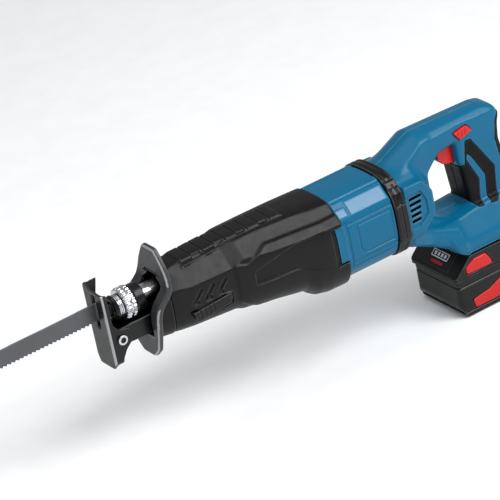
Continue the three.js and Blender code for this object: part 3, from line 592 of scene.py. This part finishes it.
# ---- rear shells and grip ------------------------------------------------------------------------
HANDLE_LINE = [(318, 14), (358, 33), (437, 31), (449, 27), (453.5, 17), (450, 8), (448, -8), (452, -27),
               (457, -45), (464, -60), (464, -76), (345, -76), (330, -66), (318, -60)]
LOOP_LINE = [(378, 5), (398, 7), (398, -16), (400.5, -20), (404.5, -62), (374, -63), (358, -52), (359, -22),
             (361, -10)]
SPINE_LINE = [(447, 12), (443, -6), (446, -28), (451, -46), (458, -62), (470, -62), (470, 20), (452, 20)]
BUTTON_LINE = [(396, 19), (412, 21.5), (418, 14.5), (403, 9.5)]
TRIGGER_LINE = [(380, 4.5), (379, -4.5), (387, -13.5), (396, -16), (409, -14), (409, 6.3)]
PAD_LINE = [(396, -20), (405, -18), (409, 5), (415, 5), (437, -33), (434, -60), (429, -65), (409, -63),
            (396, -48)]
INLAY_LINE = [(409.5, -8), (413.5, -14), (425, -37), (422, -66), (414, -65), (417.5, -38), (406.5, -13)]
REAR_DRUM = [(316.6, 41.5, 13, -68), (338, 41, 11, -62), (350, 34, 4, -56), (357, 24, -4, -50)]
STRUT = [(322, 38, -40, -67), (345, 33, -54, -78), (376, 36, -64, -97)]
FOOT_LINE = [(366, -66), (404, -62), (462, -60), (478, -74), (485, -88), (485, -98), (379, -98), (370, -92)]
FOOT_SECTION = [(-37, -99), (37, -99), (37, -85), (22, -60), (-22, -60), (-37, -85)]
FOOT_BASE = -98.1
VENT_LINE = [(317, 3), (339.5, 2), (349, -12), (348.5, -36), (334, -50), (317, -52)]
VENT_FRAME = [(318.5, -7), (335, -6.5), (340, -18), (340.5, -33), (328, -42.5), (318.5, -41.5)]
SCREW_PLACES, SCREW_SEAT = [(369, 22), (436, 22), (341, -58), (455, -70)], 13.8
HALF_SEAM = 0.15


def handle_field(space):
    """The handle with its loop. Its roof is crowned and its top edges are cut off at 45 degrees."""
    x, y, z = space.x, space.y, space.z
    outline = soften(flat(HANDLE_LINE, x, z), 8)
    half = np.interp(x, [318, 345, 365, 392, 402, 440, 456], [24, 23, 20, 18.5, 17.5, 17.5, 16])
    handle = ease_meet(outline, (np.abs(y) - half).astype(np.float32), 5)
    roof = z + 0.02 * y * y - np.interp(x, [318, 358, 437, 456], [14, 33.5, 31.5, 28])
    crest = np.interp(x, [318, 358, 372, 443], [30, 47, 43.5, 40.5])
    facet = (np.abs(y) + z - crest) / math.sqrt(2)
    handle = ease_meet(handle, (roof / 1.1).astype(np.float32), 2)
    handle = meet(handle, facet.astype(np.float32))
    return ease_cut(handle, soften(flat(LOOP_LINE, x, z), 8), 7)


def rear_outside(space):
    """The outside of both rear shells as one body, and the battery foot alone."""
    x, y, z = space.x, space.y, space.z
    corner = (np.abs(y) + z - np.interp(x, [316, 340], [37, 34]).astype(np.float32)) / math.sqrt(2)
    shell_drum = meet(lofted(space, REAR_DRUM, 2.8), corner, slab(x, 316.6, 357))
    vent = meet(soften(flat(VENT_LINE, x, z), 4), slab(y, -42.5, 42.5), 316.6 - x, 20 - np.abs(y))
    strut = meet(lofted(space, STRUT, 4), slab(x, 322, 376))
    foot = meet(soften(flat(FOOT_LINE, x, z), 5), soften(flat(FOOT_SECTION, y, z), 6))
    outside = ease_join(handle_field(space), shell_drum, 6)
    outside = ease_join(outside, ease_join(strut, foot, 8), 6)
    outside = soften(ease_join(outside, soften(vent, 2), 1.5), 2)
    return meet(outside, FOOT_BASE - z), foot


def rear_rooms(space, outside):
    """The hollow of the rear shells, and their openings for drum, battery rails, spine and buttons."""
    room = meet(outside + 3.6, -block(space, (300, 500), (-50, 50), (-99, -84)))
    mouth = meet(drum(space, 6.3), slab(space.x, 290, 320))
    rails = join(block(space, (330, 472), (-21.3, 21.3), (-99, -91)),
                 block(space, (330, 472), (-27, 27), (-92.3, -86.9)))
    spine_room = meet(side_prism(space, SPINE_LINE, (-30, 30)) - 0.3, -5.3 - outside)
    button_room = side_prism(space, BUTTON_LINE, (-30, 30)) - 0.4
    trigger_room = join(side_prism(space, TRIGGER_LINE, (-7.9, 7.9)) - 0.5,
                        block(space, (395, 417), (-8.4, 8.4), (-16.2, 6.8)))
    return room, mouth, rails, spine_room, button_room, trigger_room


def make_rear_shells():
    """Makes both shells, and gives back their space and their outside for the parts moulded on them."""
    space = Space((301, -46, -102), (489, 46, 38), 0.95)
    x, y, z = space.x, space.y, space.z
    outside, foot = rear_outside(space)
    spigot = meet(drum(space, 3.3), slab(x, 303.3, 318))
    pads = meet(flat(PAD_LINE, x, z) - 0.3, -1.8 - outside)
    inlay = meet(soften(flat(INLAY_LINE, x, z), 2), outside - 0.1, -3 - outside, 10 - np.abs(y))
    vent_frame = meet(soften(flat(VENT_FRAME, x, z), 2), 40.6 - np.abs(y))
    body = join(cut(join(outside, spigot), pads), inlay)
    body = ease_cut(body, vent_frame, 0.8)
    for i in range(5):
        level = -12.5 - 5.8 * i
        louvre = slanted_slot(space, (323, level), (334.5 - 0.9 * i, level + 0.3), 3)
        body = cut(body, meet(louvre, 32 - np.abs(y)))
    foot_line = meet(slab(z, -95.5, -94.3), slab(x, 376, 490), -(foot + 0.8))
    screw_rooms = [rod(space, "y", (SCREW_SEAT - 0.3, 60), 4, place) for place in SCREW_PLACES]
    body = cut(body, foot_line, *screw_rooms, *rear_rooms(space, outside))
    piece("rear_shell_left", space, meet(body, y + HALF_SEAM), BLUE_PLASTIC)
    piece("rear_shell_right", space, meet(body, HALF_SEAM - y), BLUE_PLASTIC)
    return space, outside


def make_grip(space, outside):
    x, y, z = space.x, space.y, space.z
    inlay_room = meet(flat(INLAY_LINE, x, z) - 0.3, 10 - np.abs(y))
    pad_outline = soften(flat(PAD_LINE, x, z), 2)
    for name, side in (("grip_pad_left", -1), ("grip_pad_right", 1)):
        pad = meet(pad_outline, outside - 0.5, -1.5 - outside, 0.2 - side * y)
        piece(name, space, cut(pad, inlay_room), GRIP_RUBBER)
    spine = meet(side_prism(space, SPINE_LINE, (-30, 30)), outside - 0.4)
    piece("grip_spine", space, cut(spine, outside + 5), GRIP_RUBBER)


def make_trigger_and_button():
    space = Space((376, -22, -19), (421, 22, 25), 0.6)
    body = soften(side_prism(space, TRIGGER_LINE, (-7.9, 7.9), 3), 3)
    trigger = piece("trigger", space, body, RED_PLASTIC)
    # The trigger's front face and underside are painted black as painted shade.
    paint(trigger, BLACK_PLASTIC, lambda x, y, z: (x < 383.5 - 0.2 * abs(y)) | (z < -14.6))
    button = soften(side_prism(space, BUTTON_LINE, (-20.2, 18), 2), 2)
    for i in range(3):
        groove = meet(slab(space.x, 400.5 + 4 * i, 401.6 + 4 * i), 19.5 - np.abs(space.y))
        button = cut(button, groove)
    piece("lock_off_button", space, button, RED_PLASTIC)


# ---- battery -------------------------------------------------------------------------------------
BASE_LINE = [(361, -121.3), (473, -121.3), (475, -150), (471, -161), (366, -161), (360, -148)]
BASE_PLAN = [(357, -22), (362, -36), (475, -36), (475, 36), (362, 36), (357, 22)]
TOP_LINE = [(358, -121), (357, -118.6), (379, -98.6), (475, -98.6), (475, -121)]
TOP_PLAN = [(356, -26), (359, -37.5), (475, -37.5), (475, 37.5), (359, 37.5), (356, 26)]
TOP_ROOM_LINE = [(366, -122), (366, -114), (381, -101.5), (472, -101.5), (472, -122)]
LATCH_LINE = [(372, -116), (400, -117), (403, -114), (397, -103), (383, -103), (372, -109)]
LABEL_LINE = [(377, -154.5), (468, -154.5), (468, -135), (409, -136), (395, -142), (375, -145)]


def make_battery_base(space):
    x, y, z = space.x, space.y, space.z
    base = meet(soften(flat(BASE_LINE, x, z), 4), soften(flat(BASE_PLAN, x, y), 8), z + 121.3)
    label_room = meet(flat(LABEL_LINE, x, z) - 0.4, 34.7 - np.abs(y))
    rib = meet(slab(z, -129, -127.2), -(base + 1.0))
    foot_line = meet(slab(z, -156.5, -155), -(base + 0.9))
    room = block(space, (363, 471.5), (-33.5, 33.5), (-158, -110))
    piece("battery_base", space, cut(soften(base, 1), label_room, rib, foot_line, room), BLACK_PLASTIC)


def make_battery_top(space):
    x, y, z = space.x, space.y, space.z
    top = meet(soften(flat(TOP_LINE, x, z), 2), soften(flat(TOP_PLAN, x, y), 8), -121 - z)
    rails = join(block(space, (386, 468), (-21, 21), (-99, -91)),
                 block(space, (386, 468), (-26.6, 26.6), (-91.9, -87.3)))
    rail_room = block(space, (389, 465), (-18, 18), (-105, -89.5))
    top_room = side_prism(space, TOP_ROOM_LINE, (-34.5, 34.5))
    latch_room = meet(flat(LATCH_LINE, x, z) - 0.5, 30 - np.abs(y))
    lip = meet(slab(z, -119.4, -118.2), -(top + 0.8))
    contact_slots = [block(space, (387, 400), (middle - 2, middle + 2), (-95, -80))
                     for middle in (-12, 0, 12)]
    body = soften(ease_join(top, rails, 0.5), 1)
    body = cut(body, top_room, rail_room, latch_room, lip, gauge_field(space, 0.35), *contact_slots)
    piece("battery_top", space, body, BLACK_PLASTIC)


def make_battery_sides(space):
    for side, end in ((-1, "left"), (1, "right")):
        outline = soften(flat(LABEL_LINE, space.x, space.z), 2)
        label = ease_meet(outline, slab(side * space.y, 35, 36.5), 1)
        made = piece("battery_label_" + end, space, label, RED_PLASTIC)
        paint(made, DARK_RED, lambda x, y, z: slab(x + 0.7 * z, 352, 358) < 0)
        outline = soften(flat(LATCH_LINE, space.x, space.z), 2)
        latch = ease_meet(outline, slab(side * space.y, 33.4, 38.6), 2.5)
        piece("battery_button_" + end, space, latch, RED_PLASTIC)


def make_battery():
    space = Space((352, -41, -164), (479, 41, -84), 0.85)
    make_battery_base(space)
    make_battery_top(space)
    make_battery_sides(space)


GAUGE_TILT, GAUGE_MIDDLE = math.atan2(20, 22), (368.4, -108.9)
# Its printed frame: the middle up the slope, the half width and the half height.
PRINT_MIDDLE, PRINT_HALF_WIDTH, PRINT_HALF_HEIGHT = 3.5, 12, 3.3


def gauge_axes(x, z):
    """Distances up the battery's sloped front and out of it, from the middle of the gauge."""
    dx, dz = x - GAUGE_MIDDLE[0], z - GAUGE_MIDDLE[1]
    cosine, sine = math.cos(GAUGE_TILT), math.sin(GAUGE_TILT)
    return dx * cosine + dz * sine, -dx * sine + dz * cosine


def gauge_field(space, extra):
    up, out = gauge_axes(space.x, space.z)
    return meet(np.abs(up) - 10 - extra, np.abs(space.y) - 20 - extra, np.abs(out) - 0.8 - extra)


def in_gauge_print(x, y, z):
    """A printed frame with four bars in it."""
    up, out = gauge_axes(x, z)
    height = abs(up - PRINT_MIDDLE)
    sides = (abs(abs(y) - PRINT_HALF_WIDTH) < 0.5) & (height < PRINT_HALF_HEIGHT + 0.3)
    ends = (abs(height - PRINT_HALF_HEIGHT) < 0.5) & (abs(y) < PRINT_HALF_WIDTH + 0.3)
    bars = (abs((y + 10) % 5 - 2.5) < 1.6) & (abs(y) < 10) & (height < 1.7)
    return (sides | ends | bars) & (out > 0)


def in_gauge_mark(x, y, z):
    up, out = gauge_axes(x, z)
    return (abs(up + 4.5) < 1.4) & (abs(y) < 9) & (out > 0)


def make_gauge():
    space = Space((357, -22, -119), (380, 22, -98), 0.5)
    panel = piece("gauge_panel", space, soften(gauge_field(space, 0), 1), BLACK_PLASTIC)
    paint(panel, WHITE_INK, in_gauge_print)
    paint(panel, RED_PLASTIC, in_gauge_mark)


# ---- shoe, clamp and blade -----------------------------------------------------------------------
PIVOT = (11.8, -24.9)
FACE = [(-15.5, 24), (-15.5, -46), (-11, -53), (12, -53), (15.5, -44), (15.5, 27), (12, 31), (4, 26)]
BLADE_SLOT = [(-3, 21), (-3, -13), (3, -13), (3, 21)]
FLANGE = [(0, 22), (6, 24), (6, -8), (11, -15), (22, -17), (23, -30), (15, -37), (10, -45), (10, -51),
          (1, -51), (0, -46)]
BRACKET = [(3.4, -20.9), (7.8, -16.5), (30, -15.5), (118, -15.5), (118, -34), (30, -34), (8.8, -33.3),
           (3.4, -28.9)]
LEVER_LINE = [(80, -24), (122, -21), (122, -31), (84, -35)]


def pivot_bore(space):
    return rod(space, "y", (-20, 20), 3.3, PIVOT)


def make_shoe_plate():
    """The face and its two flanges. The far flange stands higher and further out at its top."""
    space = Space((-4, -19, -57), (28, 19, 40), 0.5)
    x, y, z = space.x, space.y, space.z
    face = soften(flat(FACE, y, z), 6)
    plate = meet(face, slab(x, 0, 2.2), -soften(flat(BLADE_SLOT, y, z), 2))
    near = side_prism(space, FLANGE, (-15.5, -13.3), 6)
    far_line = [(px + 9 * np.sign(px), pz + 6) if pz > 20 else (px, pz) for px, pz in FLANGE]
    far = side_prism(space, far_line, (13.3, 15.5), 6)
    body = soften(ease_join(plate, join(near, far), 3), 2)
    body = cut(meet(body, face, -x), pivot_bore(space))
    shoe = piece("shoe_plate", space, body, DARK_STEEL)
    # The near bend of the shoe is painted paler as a painted highlight.
    paint(shoe, STEEL_BEND_HIGHLIGHT, lambda x, y, z: (x < 2.1) & (abs(y) > 14.1) & (x - abs(y) > -15.2))


def make_pivot_bolt():
    space = Space((4, -20, -33), (20, 20, -17), 0.4)
    shank = rod(space, "y", (-17, 17), 3, PIVOT)
    head = ease_meet(rod(space, "y", (-18.6, -15.8), 5.3, PIVOT), rod(space, "y", (-18.6, 0), 5, PIVOT), 1)
    nut = rod(space, "y", (15.8, 18.6), 5, PIVOT)
    socket = rod(space, "y", (-20, -17.2), 2.6, PIVOT)
    body = cut(soften(join(shank, head, nut), 1), socket)
    bolt = piece("shoe_pivot_bolt", space, body, BRIGHT_STEEL)
    # The faces within 2.9 mm of the bolt's axis, its socket among them, are painted dark as painted shade.
    paint(bolt, DARK_STEEL, lambda x, y, z: np.hypot(x - PIVOT[0], z - PIVOT[1]) < 2.9)


def make_shoe_bracket():
    space = Space((1, -15, -37), (121, 15, -13), 0.7)
    outer = soften(side_prism(space, BRACKET, (-12.9, 12.9), 3), 2)
    channel = block(space, (0, 130), (-10.4, 10.4), (-31.5, 0))
    piece("shoe_bracket", space, cut(outer, channel, pivot_bore(space)), DARK_STEEL)


def make_shoe_lever():
    space = Space((76, -36, -38), (126, -27, -18), 0.5)
    outline = soften(flat(LEVER_LINE, space.x, space.z), 3)
    lever = ease_meet(outline, slab(space.y, -33.2, -29.6), 2)
    for i in range(4):
        lever = cut(lever, meet(slab(space.x, 86 + 5 * i, 88 + 5 * i), space.y + 32.4))
    piece("shoe_lever", space, lever, BLACK_PLASTIC)


CLAMP_BORE = 9.3
SPRING_PITCH = 1.83
COLLAR_RIBS = 24
WAIST_X, WAIST_HALF = 30.2, 1.1
PIN_X, PIN_HOLE = 30.5, 2.4


def around(space):
    """Distance from the plunger axis, and the angle round it."""
    return np.sqrt(space.y ** 2 + space.z ** 2), np.arctan2(space.z, space.y)


def make_nose(space):
    x = space.x
    reach, _ = around(space)
    outer = np.interp(x, [15, 18.4], [10.6, 12.4])
    rear_bore = meet(reach - CLAMP_BORE, slab(x, 17.7, 20))
    nose = cut(meet(reach - outer, slab(x, 15, 18.4)), rear_bore, reach - 7.5)
    blade_slit = block(space, (14, 19), (-1.2, 1.2), (-8, 8))
    piece("clamp_nose", space, cut(soften(nose.astype(np.float32), 1), blade_slit), BLACK_PLASTIC)


def make_spring(space):
    reach, angle = around(space)
    turn = angle / (2 * math.pi) + 0.5
    winding = np.mod(space.x - 18.7 - SPRING_PITCH * turn, SPRING_PITCH) - SPRING_PITCH / 2
    spring = meet(np.sqrt((reach - 10.4) ** 2 + winding ** 2) - 0.86, slab(space.x, 18.8, 24.1))
    piece("clamp_spring", space, spring, BRIGHT_STEEL)


def make_collar(space):
    x = space.x
    reach, angle = around(space)
    in_waist = np.abs(x - WAIST_X) < WAIST_HALF
    ribs = 0.5 * np.cos(COLLAR_RIBS * angle) * ~in_waist
    outer = np.interp(x, [24.5, 26, 34.5, 36], [13.9, 15.1, 15.1, 13.9])
    collar = meet(reach - outer - ribs + 0.9 * in_waist, slab(x, 24.5, 36))
    collar = cut(collar, reach - CLAMP_BORE, meet(reach - 11.2, slab(x, 27, 34)))
    piece("clamp_collar", space, collar.astype(np.float32), BRIGHT_STEEL)


def make_sleeve(space):
    reach, _ = around(space)
    outer = np.interp(space.x, [36.3, 37, 45, 46.5], [13.2, 14, 14, 12.6])
    sleeve = meet(reach - outer, slab(space.x, 36.3, 46.5), CLAMP_BORE - reach)
    piece("clamp_sleeve", space, sleeve.astype(np.float32), BLACK_PLASTIC)


def make_clamp():
    space = Space((12, -17, -17), (49, 17, 17), 0.42)
    make_nose(space)
    make_spring(space)
    make_collar(space)
    make_sleeve(space)


def pin_hole(space):
    return np.sqrt((space.x - PIN_X) ** 2 + space.z ** 2) - PIN_HOLE


def make_plunger():
    space = Space((16, -10.5, -10.5), (213, 10.5, 10.5), 0.6)
    reach, _ = around(space)
    body = meet(reach - 9, slab(space.x, 18, 210.5))
    blade_slot = block(space, (10, 36), (-0.95, 0.95), (-5.4, 5.4))
    socket = block(space, (195.2, 206.8), (-5.4, 5.4), (-10, 6.2))
    near_hole = meet(pin_hole(space), slab(space.y, -10, 0))
    piece("plunger", space, cut(body, blade_slot, socket, near_hole), BRIGHT_STEEL)


BLADE_TIP, TOOTH_PITCH = -150, 4.4


def make_blade():
    space = Space((-154, -2.2, -11), (36, 2.2, 16), 0.5)
    x, z = space.x, space.z
    back = np.interp(x, [BLADE_TIP, -136, 7, 13], [3.5, 11.5, 12.5, 5])
    share = np.mod(x - BLADE_TIP, TOOTH_PITCH) / TOOTH_PITCH
    tooth = np.where(share < 0.8, share / 0.8, (1 - share) / 0.2) * 1.9
    edge = np.where(x < 8, -4.6 - tooth, -5.0)
    body = meet((z - back) * 0.95, (edge - z) * 0.75, slab(x, BLADE_TIP, 13))
    tang = meet(slab(x, 10, 33), slab(z, -5, 5))
    outline = cut(join(body, tang), pin_hole(space))
    piece("blade", space, meet(outline, slab(space.y, -0.65, 0.65)).astype(np.float32), BLADE_STEEL)


def make_screws():
    for i, (px, pz) in enumerate(SCREW_PLACES):
        space = Space((px - 5, 1, pz - 5), (px + 5, 18, pz + 5), 0.35)
        shank = rod(space, "y", (2, SCREW_SEAT), 1.8, (px, pz))
        head = rod(space, "y", (SCREW_SEAT, SCREW_SEAT + 2.5), 3.6, (px, pz))
        reach = np.sqrt((space.x - px) ** 2 + (space.z - pz) ** 2)
        angle = np.arctan2(space.z - pz, space.x - px)
        star = meet(reach - 1.7 - 0.35 * np.cos(6 * angle), SCREW_SEAT + 1.2 - space.y)
        screw = cut(soften(join(shank, head), 1), star)
        piece(f"shell_screw_{i + 1}", space, screw.astype(np.float32), DARK_STEEL)


# ---- camera, light and floor ---------------------------------------------------------------------
AZIMUTH, ELEVATION, ROLL = math.radians(28.83), math.radians(27.23), math.radians(11.9)
DISTANCE = 3.54672
LENS = 277.4
TARGET = Vector((ORIGIN.x + 0.16823, 0, ORIGIN.z - 0.00868))
# Each light's place, its width and height, and its watts.
LIGHTS = {
    "facet_key": ((0.72, -1.25, 1.35), (1.0, 0.4), 20),
    "band_light": ((0.2, -1.05, 1.85), (1.9, 0.4), 26),
    "top_soft": ((-0.7, 0.3, 2.3), (1.6, 1.6), 15),
    "front_fill": ((-2.0, -0.9, 0.7), (0.7, 0.7), 6),
    "side_low": ((-0.4, -2.4, 0.45), (1.6, 0.25), 4),
}
LIGHT_TARGET = Vector((-0.2, 0, 0.12))
FLOOR_REACH = 6
FLOOR_GAP = 0.0005


def add_camera():
    back = Vector((-math.sin(AZIMUTH) * math.cos(ELEVATION), -math.cos(AZIMUTH) * math.cos(ELEVATION),
                   math.sin(ELEVATION)))
    right = Vector((0, 0, 1)).cross(back).normalized()
    up = back.cross(right)
    side = right * math.cos(ROLL) - up * math.sin(ROLL)
    rise = right * math.sin(ROLL) + up * math.cos(ROLL)
    data = bpy.data.cameras.new("camera")
    data.lens = LENS
    data.sensor_width = 36
    data.clip_end = 50
    camera = bpy.data.objects.new("camera", data)
    bpy.context.scene.collection.objects.link(camera)
    turn = Matrix((side, rise, back)).transposed().to_4x4()
    camera.matrix_world = Matrix.Translation(TARGET + back * DISTANCE) @ turn
    bpy.context.scene.camera = camera


def add_light(name, place, size, watts):
    data = bpy.data.lights.new(name, "AREA")
    data.shape = "RECTANGLE"
    data.size, data.size_y = size
    data.energy = watts
    lamp = bpy.data.objects.new(name, data)
    bpy.context.scene.collection.objects.link(lamp)
    lamp.location = place
    lamp.rotation_euler = (LIGHT_TARGET - Vector(place)).to_track_quat("-Z", "Y").to_euler()


def add_floor():
    r = FLOOR_REACH
    mesh = bpy.data.meshes.new("floor")
    mesh.from_pydata([(-r, -r, 0), (r, -r, 0), (r, r, 0), (-r, r, 0)], [], [(0, 1, 2, 3)])
    mesh.materials.append(finish("floor_paper", (238, 239, 240), 0.8, grain=3, bump=0.02, mottle=0.97))
    floor = bpy.data.objects.new("floor", mesh)
    bpy.context.scene.collection.objects.link(floor)
    floor.location.z = start_box[0][2] - FLOOR_GAP


def add_studio():
    scene = bpy.context.scene
    scene.view_settings.view_transform = "Standard"
    world = bpy.data.worlds.new("studio")
    world.use_nodes = True
    world.node_tree.nodes["Background"].inputs["Color"].default_value = (1, 1, 1, 1)
    world.node_tree.nodes["Background"].inputs["Strength"].default_value = 0.4
    scene.world = world
    for name, (place, size, watts) in LIGHTS.items():
        add_light(name, place, size, watts)
    add_floor()


add_camera()
add_studio()
dress_hidden_nodes()
make_boot()
make_guard()
make_motor_housing()
make_ring()
make_grip(*make_rear_shells())
make_trigger_and_button()
make_battery()
make_gauge()
make_shoe_plate()
make_pivot_bolt()
make_shoe_bracket()
make_shoe_lever()
make_clamp()
make_plunger()
make_blade()
make_screws()
